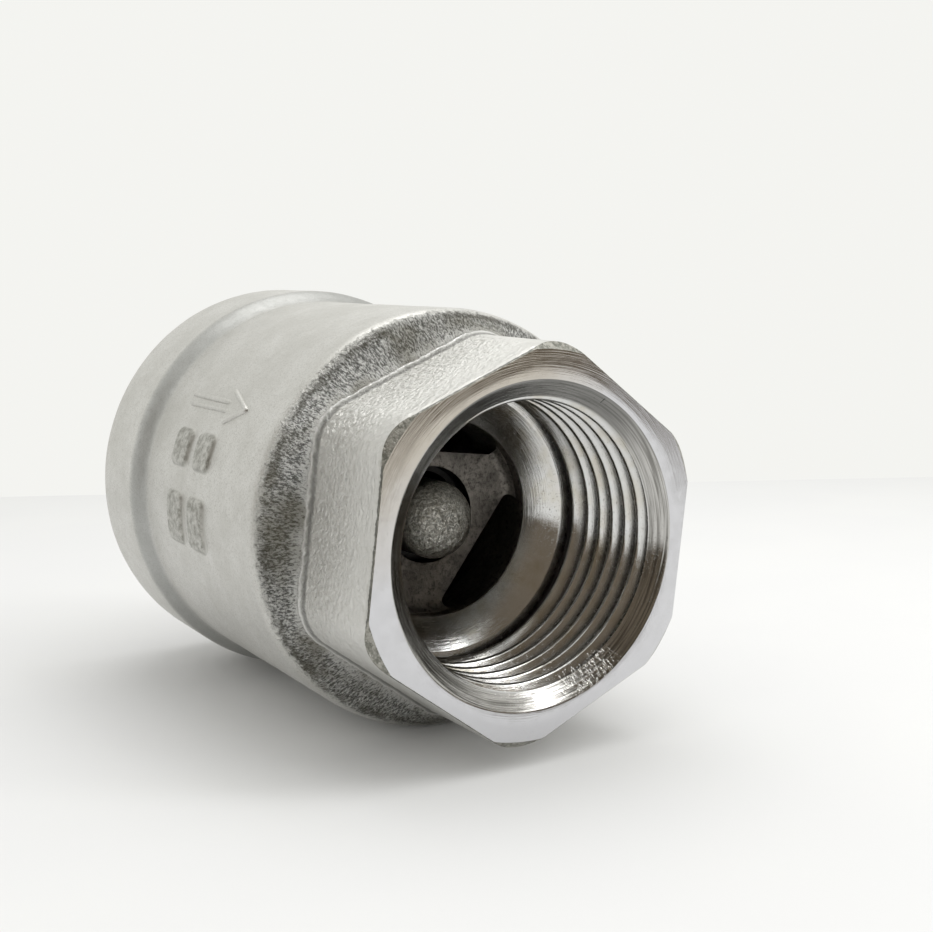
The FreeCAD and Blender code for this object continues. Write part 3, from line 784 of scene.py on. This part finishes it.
def make_spider():
    """The three-armed web and its hub, standing a little way into the throat's wall."""
    buried = THROAT_RADIUS + 0.5
    web = [
        # hub
        (HUB_START + 0.3, HUB_RADIUS),
        (SPIDER_BACK - 0.8, HUB_RADIUS),
        (SPIDER_BACK - 0.25, HUB_RADIUS + 0.2),
        (SPIDER_BACK, HUB_RADIUS + 0.8),
        # web, its rim inside the throat's wall
        (SPIDER_BACK, THROAT_RADIUS - 0.2),
        (SPIDER_BACK + 0.3, buried),
        (SPIDER_FACE + 1.0, buried),
        (SPIDER_FACE + 1.0, THROAT_RADIUS - 0.05),
        (SPIDER_FACE + 0.55, THROAT_RADIUS - 0.35),
        (SPIDER_FACE + 0.2, SPIDER_FACE_RADIUS + 0.25),
        (SPIDER_FACE, SPIDER_FACE_RADIUS - 0.4),
        (SPIDER_FACE, GUIDE_MOUTH_RADIUS + 0.35),
    ]
    # the guide bore is wider at the web
    guide = [
        (SPIDER_FACE - 0.1, GUIDE_MOUTH_RADIUS + 0.1),
        (SPIDER_FACE - 0.35, GUIDE_MOUTH_RADIUS),
        (GUIDE_END, GUIDE_MOUTH_RADIUS),
        (GUIDE_END, GUIDE_RADIUS),
        (HUB_START + 0.5, GUIDE_RADIUS),
    ]
    hub_end = [
        (HUB_START, GUIDE_RADIUS + 0.5),
        (HUB_START, HUB_RADIUS - 0.3),
    ]
    rows = [(*row, CAST_INSIDE) for row in web]
    # the guide bore is painted near-black as shade
    rows += [(*row, GUIDE_BORE_SHADE) for row in guide]
    rows += [(*row, CAST_INSIDE) for row in hub_end]
    spider = revolve("spider", rows)
    for third in range(3):
        cutter = window_cutter(HEX_CLOCK + 120 * third)
        cut = spider.modifiers.new("window", "BOOLEAN")
        cut.operation = "DIFFERENCE"
        cut.solver = "EXACT"
        cut.object = cutter
        bpy.context.view_layer.update()
        shown = bpy.data.meshes.new_from_object(spider.evaluated_get(bpy.context.evaluated_depsgraph_get()))
        spider.modifiers.remove(cut)
        spider.data = shown
        bpy.data.objects.remove(cutter)
    spider.data.name = "spider"
    spider.data.set_sharp_from_angle(angle=math.radians(CREASE))
    place_piece(spider, "valve_body", "cast_steel", "body")


def make_arrow():
    """The flow arrow: thin raised lines cast on the side of the barrel."""
    axis_clock = -57.7
    shaft_half = 1.4
    barb_half = 4.6
    tail, neck, tip = 30.0, 42.3, 47.4
    line = 0.32
    steps = 12
    half_sunk = 0.08
    end_sunk = 0.3
    end_run = 0.8
    outlines = {
        "flow_arrow_shaft_upper": [(tail, shaft_half), (neck, shaft_half * 0.9)],
        "flow_arrow_shaft_lower": [(tail + 0.8, -shaft_half), (neck + 0.4, -shaft_half * 0.9)],
        "flow_arrow_head": [(neck - 0.4, barb_half), (tip, 0.0), (neck + 0.6, -barb_half)],
    }
    for name, corners in outlines.items():
        points = []
        for (start, begin), (end, finish) in zip(corners, corners[1:]):
            for step in range(steps + 1):
                share = step / steps
                clock = axis_clock + begin + (finish - begin) * share
                place = start + (end - start) * share
                # both ends of a shaft's line dip into the surface
                from_end = end_run
                if len(corners) == 2:
                    from_end = min(place - corners[0][0], corners[-1][0] - place)
                sunk = end_sunk * max(0.0, 1.0 - from_end / end_run)
                points.append(on_barrel(place, clock, -half_sunk - sunk))
        stroke = tube(name, points, line, CAST_OUTSIDE)
        place_piece(stroke, "valve_body", "cast_steel", "body")


def raised_pad(name, places, clocks, height):
    """A low blank pad on the barrel with rounded corners and soft sides, its edge under the surface."""
    count = 28
    soft = 0.45
    corner = 0.9
    under = 0.1
    deep_under = 0.35
    middle_along = sum(places) / 2
    middle_clock = sum(clocks) / 2
    half_along = (places[1] - places[0]) / 2
    half_around = math.radians(clocks[1] - clocks[0]) / 2 * BARREL_RADIUS
    tops = []
    bottoms = []
    for row in range(count):
        for column in range(count):
            u = (2 * row / (count - 1) - 1) * (half_along + soft)
            w = (2 * column / (count - 1) - 1) * (half_around + soft)
            past_u = max(abs(u) - half_along + corner, 0.0)
            past_w = max(abs(w) - half_around + corner, 0.0)
            outside = math.hypot(past_u, past_w) - corner
            share = min(max((soft - outside) / (2 * soft), 0.0), 1.0)
            rise = height * share * share * (3 - 2 * share)
            dip = 0.06 * noise.noise(Vector((u, w, middle_clock)) * 1.7)
            clock = middle_clock + math.degrees(w / BARREL_RADIUS)
            tops.append(on_barrel(middle_along + u, clock, rise * (1 + dip) - under))
            bottoms.append(on_barrel(middle_along + u, clock, -deep_under))
    faces = []
    below = count * count
    for row in range(count - 1):
        for column in range(count - 1):
            first = row * count + column
            cell = (first, first + 1, first + count + 1, first + count)
            faces.append(cell)
            faces.append(tuple(below + point for point in reversed(cell)))
    rim = list(range(count))
    rim += [row * count + count - 1 for row in range(1, count)]
    rim += [below - count + column for column in range(count - 2, -1, -1)]
    rim += [row * count for row in range(count - 2, 0, -1)]
    for first, second in zip(rim, rim[1:] + rim[:1]):
        faces.append((second, first, below + first, below + second))
    pad = add_mesh(name, tops + bottoms, faces, [CAST_MARK], crease=60.0)
    place_piece(pad, "valve_body", "cast_steel", "body")


def make_pads():
    """Blank pads where a maker casts a grade and a size."""
    height = 0.5
    for row, clocks in enumerate(((-77.0, -66.5), (-99.0, -84.5))):
        for column, places in enumerate(((31.5, 36.3), (38.3, 43.1))):
            raised_pad(f"blank_pad_{row + 1}_{column + 1}", places, clocks, height)


# ---------------------------------------------------------------- inlet cap

def make_cap():
    """The screwed inlet end: hexagon, collar, outside thread, seat and passage."""
    collar_radius = 23.4
    collar_edge = 0.6
    relief_radius = 19.4
    thread_radius = 20.15
    seat_foot_radius = 14.2
    seat_radius = 13.5
    collar_face = RING_FACE - 1.0
    rows = hexagon_rows(
        INLET_FACE, 1, INLET_HEX_LENGTH, BASE_RISE, INLET_FACE_RADIUS, INLET_BEVEL_SLOPE
    )
    outline = [
        # collar
        (INLET_HEX_LENGTH + 0.3, collar_radius - 1.6, CAST_OUTSIDE),
        (INLET_HEX_LENGTH + 0.4, collar_radius - collar_edge, CAST_OUTSIDE),
        (INLET_HEX_LENGTH + 0.6, collar_radius - 0.2, CAST_OUTSIDE),
        (INLET_HEX_LENGTH + 0.4 + collar_edge, collar_radius - 0.03, CAST_OUTSIDE),
        (collar_face - 0.3, collar_radius - 0.03, CAST_OUTSIDE),
        (collar_face, collar_radius - 0.3, MACHINED),
        # relief and outside thread
        (collar_face, relief_radius, MACHINED),
        (collar_face + 2.0, relief_radius, MACHINED),
        (collar_face + 2.4, thread_radius, MACHINED),
        (SEAT_FACE - 2.0, thread_radius, MACHINED),
        (SEAT_FACE - 1.0, thread_radius - 1.0, MACHINED),
        # seat
        (SEAT_FACE - 1.0, seat_foot_radius, MACHINED),
        (SEAT_FACE, seat_radius, MACHINED),
        (SEAT_FACE, THROAT_RADIUS + 0.15, MACHINED),
        (SEAT_FACE - 0.15, THROAT_RADIUS, MACHINED),
    ]
    rows += outline + passage_rows(INLET_FACE, 1, INLET_THROAT_DEPTH)
    cap = revolve("inlet_cap_casting", rows, skin=CAST_SKIN)
    place_piece(cap, "valve_body", "cast_steel", "inlet_cap")
    ridge = thread_ridge("inlet_thread", INLET_FACE, 1, INLET_THROAT_DEPTH)
    place_piece(ridge, "valve_body", "cast_steel", "inlet_cap")


# ---------------------------------------------------------------- disc and spring

def make_disc():
    """The disc with its stud and stem, the end of the stem domed and hammered."""
    stud_radius, seal_radius, disc_radius = 3.0, 14.2, 15.8
    rim_face, recess, back = 25.8, 26.5, 30.0
    stop_radius, stop_face, stem_radius, dome = 5.9, 32.95, 4.55, 3.3
    outline = [
        # stud, and the recess for the seal
        (STUD_START, stud_radius - 0.6),
        (STUD_START + 0.6, stud_radius),
        (recess, stud_radius),
        (recess, seal_radius),
        (rim_face, seal_radius),
        # disc
        (rim_face, disc_radius - 0.2),
        (rim_face + 0.2, disc_radius),
        (back - 0.8, disc_radius),
        (back - 0.23, disc_radius - 0.23),
        (back, disc_radius - 0.8),
        # stop collar and the root of the stem
        (back, stop_radius + 0.6),
        (back + 0.18, stop_radius + 0.18),
        (back + 0.6, stop_radius),
        (stop_face - 0.3, stop_radius),
        (stop_face, stop_radius - 0.3),
        (stop_face, stem_radius + 0.3),
        (stop_face + 0.3, stem_radius),
    ]
    for along in np.linspace(stop_face + 4, STEM_END - dome, 8):
        outline.append((along, stem_radius))
    for turned in np.linspace(0, math.pi / 2, 22)[1:]:
        along = STEM_END - dome * (1 - math.sin(turned))
        outline.append((along, stem_radius - dome * (1 - math.cos(turned))))
    for radius in (0.9, 0.5, 0.15):
        outline.append((STEM_END, radius))
    rows = [(along, radius, HAMMERED) for along, radius in outline]
    disc = revolve("disc_turned", rows, closed=False, drop=STEM_DROP)
    place_piece(disc, "disc_assembly", "turned_steel", "disc")


def make_spring():
    """The spring, with a closed coil at each end."""
    wire, coil, turns = 0.4, 7.0, 7.5
    steps = int(turns * 60)
    free = SPRING_END - SPRING_START - 2 * wire
    closed_rise = 2 * wire * 1.03
    points = []
    for step in range(steps + 1):
        turned = turns * step / steps
        if turned < 1:
            along = closed_rise * turned
        elif turned > turns - 1:
            along = free - closed_rise * (turns - turned)
        else:
            share = (turned - 1) / (turns - 2)
            along = closed_rise + (free - 2 * closed_rise) * share
        angle = 2 * math.pi * turned
        points.append((SPRING_START + wire + along, coil * math.cos(angle), coil * math.sin(angle)))
    spring = tube("spring_wire", points, wire, DRAWN_WIRE, sides=10)
    place_piece(spring, "valve_body", "spring_steel", "spring")
    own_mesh(spring)


def dress_small_parts():
    """Materials on the CAD nodes that are shown as they are."""
    finishes = {
        "body_gasket": SEAL_WHITE,
        "disc_seal": SEAL_WHITE,
        "seal_washer": TURNED_STEEL,
        "disc_nut": TURNED_STEEL,
        "lock_washer": DRAWN_WIRE,
    }
    for name, material in finishes.items():
        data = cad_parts[name].data
        if not data.materials:
            data.materials.append(material)
        for index in range(len(data.materials)):
            data.materials[index] = material


# ---------------------------------------------------------------- stage, light and camera

VIEW_AZIMUTH = math.radians(58.24)
VIEW_ELEVATION = math.radians(8.30)


def make_floor():
    """A pale floor that the ring and the shoulder both rest on, ending a little behind the valve."""
    shoulder = OUTLET_FACE - SHOULDER_DEPTH
    slope = (RING_RADIUS - BARREL_RADIUS) / (shoulder - NECK_END)
    behind, front, side = 205.0, 900.0, 900.0
    middle = (OUTLET_FACE + INLET_FACE) / 2
    verts = []
    for away, sideways in ((-behind, -side), (front, -side), (front, side), (-behind, side)):
        along = middle + away * math.sin(VIEW_AZIMUTH) + sideways * math.cos(VIEW_AZIMUTH)
        across = -away * math.cos(VIEW_AZIMUTH) + sideways * math.sin(VIEW_AZIMUTH)
        verts.append((along, across, -RING_RADIUS + (along - NECK_END) * slope))
    floor = add_mesh("floor", verts, [(0, 1, 2, 3)], [floor_paint()])


def floor_paint():
    """Matt off-white, with no gloss for the surround to show in."""
    s = Shader("floor_paint")
    s.surface.inputs["Specular IOR Level"].default_value = 0.0
    broad = s.noise(0.02, 2.0)
    colour = s.mix(s.ranged(broad, 0.3, 0.7), (0.755, 0.755, 0.76), (0.768, 0.768, 0.768))
    return s.finish(colour, 0.6, s.noise(0.5, 2.0), 0.01, metallic=0.0)


def dark_paint():
    """Matt dark brown for the surround."""
    s = Shader("dark_paint")
    broad = s.noise(0.004, 2.0)
    colour = s.mix(s.ranged(broad, 0.3, 0.7), (0.10, 0.078, 0.055), (0.14, 0.112, 0.082))
    return s.finish(colour, 0.8, s.noise(0.5, 2.0), 0.01, metallic=0.0)


def make_surround():
    """The dark room in front of the pale table, which only the metal's reflections show."""
    middle = 40.0
    foot = -27.0
    # azimuth from +X, distance of the table's edge, and elevation of the top of the dark part
    edge = [(-98, 190, 36), (-84, 190, 44), (-60, 200, 52), (-30, 260, 55), (0, 280, 54), (16, 270, 50)]
    edge += [(26, 260, 34), (60, 260, 24)]
    verts = []
    for azimuth, reach, elevation in edge:
        along = middle + reach * math.cos(math.radians(azimuth))
        across = reach * math.sin(math.radians(azimuth))
        verts.append((along, across, foot))
        verts.append((along, across, reach * math.tan(math.radians(elevation))))
    faces = [(2 * step, 2 * step + 2, 2 * step + 3, 2 * step + 1) for step in range(len(edge) - 1)]
    surround = add_mesh("surround", verts, faces, [dark_paint()])
    surround.visible_camera = False
    surround.visible_shadow = False
    surround.visible_diffuse = False


def softbox(name, place, aim, wide, high, power):
    """An area light of a width and height at a place, turned to aim, all in millimetres."""
    data = bpy.data.lights.new(name, "AREA")
    data.shape = "RECTANGLE"
    data.size = wide * MM
    data.size_y = high * MM
    data.energy = power
    lamp = bpy.data.objects.new(name, data)
    bpy.context.scene.collection.objects.link(lamp)
    lamp.location = Vector(place) * MM
    lamp.rotation_mode = "QUATERNION"
    lamp.rotation_quaternion = (Vector(aim) - Vector(place)).to_track_quat("-Z", "Y")


def make_light():
    """A pale sky and two soft lights, above and to the right."""
    world = bpy.data.worlds.new("studio")
    bpy.context.scene.world = world
    world.use_nodes = True
    sky = world.node_tree.nodes["Background"]
    sky.inputs["Color"].default_value = (0.905, 0.905, 0.875, 1.0)
    sky.inputs["Strength"].default_value = 1.0
    softbox("top_light", (0, 40, 330), (40, 0, 0), 260, 260, 0.36)
    softbox("right_light", (230, 160, 270), (60, 0, 0), 80, 300, 0.33)


def make_camera():
    """The camera, at the height and angle that the valve is usually shown from."""
    azimuth, elevation, distance = VIEW_AZIMUTH, VIEW_ELEVATION, 170.0
    aim = Vector((42.51, 11.29, 3.67))
    back = Vector((
        math.sin(azimuth) * math.cos(elevation),
        -math.cos(azimuth) * math.cos(elevation),
        math.sin(elevation),
    ))
    data = bpy.data.cameras.new("camera")
    data.lens = 51.43
    data.sensor_width = 36.0
    data.clip_start = 0.01
    data.clip_end = 10.0
    camera = bpy.data.objects.new("camera", data)
    bpy.context.scene.collection.objects.link(camera)
    camera.location = (aim + back * distance) * MM
    camera.rotation_mode = "QUATERNION"
    camera.rotation_quaternion = (-back).to_track_quat("-Z", "Y")
    bpy.context.scene.camera = camera


make_body()
make_spider()
make_arrow()
make_pads()
make_cap()
make_disc()
make_spring()
dress_small_parts()
make_floor()
make_surround()
make_light()
make_camera()
bpy.context.scene.view_settings.view_transform = "Standard"
